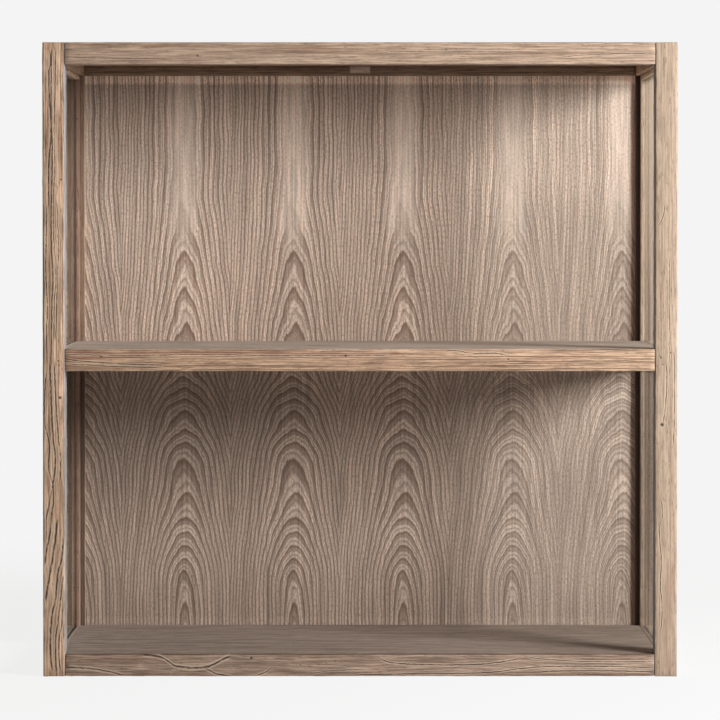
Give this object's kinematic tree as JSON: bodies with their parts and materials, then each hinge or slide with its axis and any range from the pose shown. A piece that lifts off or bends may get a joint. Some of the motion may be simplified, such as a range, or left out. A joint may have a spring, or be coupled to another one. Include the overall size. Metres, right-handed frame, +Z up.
{
  "type": "bookcase",
  "caption": "Square open-fronted bookcase of weathered wood with glazed sides, a fixed middle shelf and a veneered back.",
  "frame": {"origin": "on the ground, at the centre of the footprint", "axes": "+Z up, +X to the right seen from the front, -Y towards the open front"},
  "size_m": [1, 0.38, 1],
  "materials": {
    "frame_wood": "weathered, matt",
    "bead_wood": "stained, matt",
    "board_wood": "greyed, matt",
    "back_veneer": "matt veneer",
    "pane_glass": "clear float glass",
    "pin_steel": "dark, dull",
    "screw_steel": "plated, dull"
  },
  "bodies": {
    "root": {"back_panel": "back_veneer", "bead_left_lower_back": "bead_wood", "bead_left_lower_front": "bead_wood", "bead_left_lower_head": "bead_wood", "bead_left_lower_sill": "bead_wood", "bead_left_upper_back": "bead_wood", "bead_left_upper_front": "bead_wood", "bead_left_upper_head": "bead_wood", "bead_left_upper_sill": "bead_wood", "bead_pins_left_lower": "pin_steel", "bead_pins_left_upper": "pin_steel", "bead_pins_right_lower": "pin_steel", "bead_pins_right_upper": "pin_steel", "bead_right_lower_back": "bead_wood", "bead_right_lower_front": "bead_wood", "bead_right_lower_head": "bead_wood", "bead_right_lower_sill": "bead_wood", "bead_right_upper_back": "bead_wood", "bead_right_upper_front": "bead_wood", "bead_right_upper_head": "bead_wood", "bead_right_upper_sill": "bead_wood", "block_screws": "screw_steel", "floor_board": "board_wood", "floor_screws": "screw_steel", "glass_left_lower": "pane_glass", "glass_left_upper": "pane_glass", "glass_right_lower": "pane_glass", "glass_right_upper": "pane_glass", "post_back_left": "frame_wood", "post_back_right": "frame_wood", "post_front_left": "frame_wood", "post_front_right": "frame_wood", "rail_back_bottom": "frame_wood", "rail_back_shelf": "frame_wood", "rail_back_top": "frame_wood", "rail_front_bottom": "frame_wood", "rail_front_shelf": "frame_wood", "rail_front_top": "frame_wood", "rail_left_bottom": "frame_wood", "rail_left_shelf": "frame_wood", "rail_left_top": "frame_wood", "rail_right_bottom": "frame_wood", "rail_right_shelf": "frame_wood", "rail_right_top": "frame_wood", "shelf_board": "board_wood", "shelf_screws": "screw_steel", "stop_block": "frame_wood", "top_board": "board_wood", "top_screws": "screw_steel"}
  },
  "joints": []
}
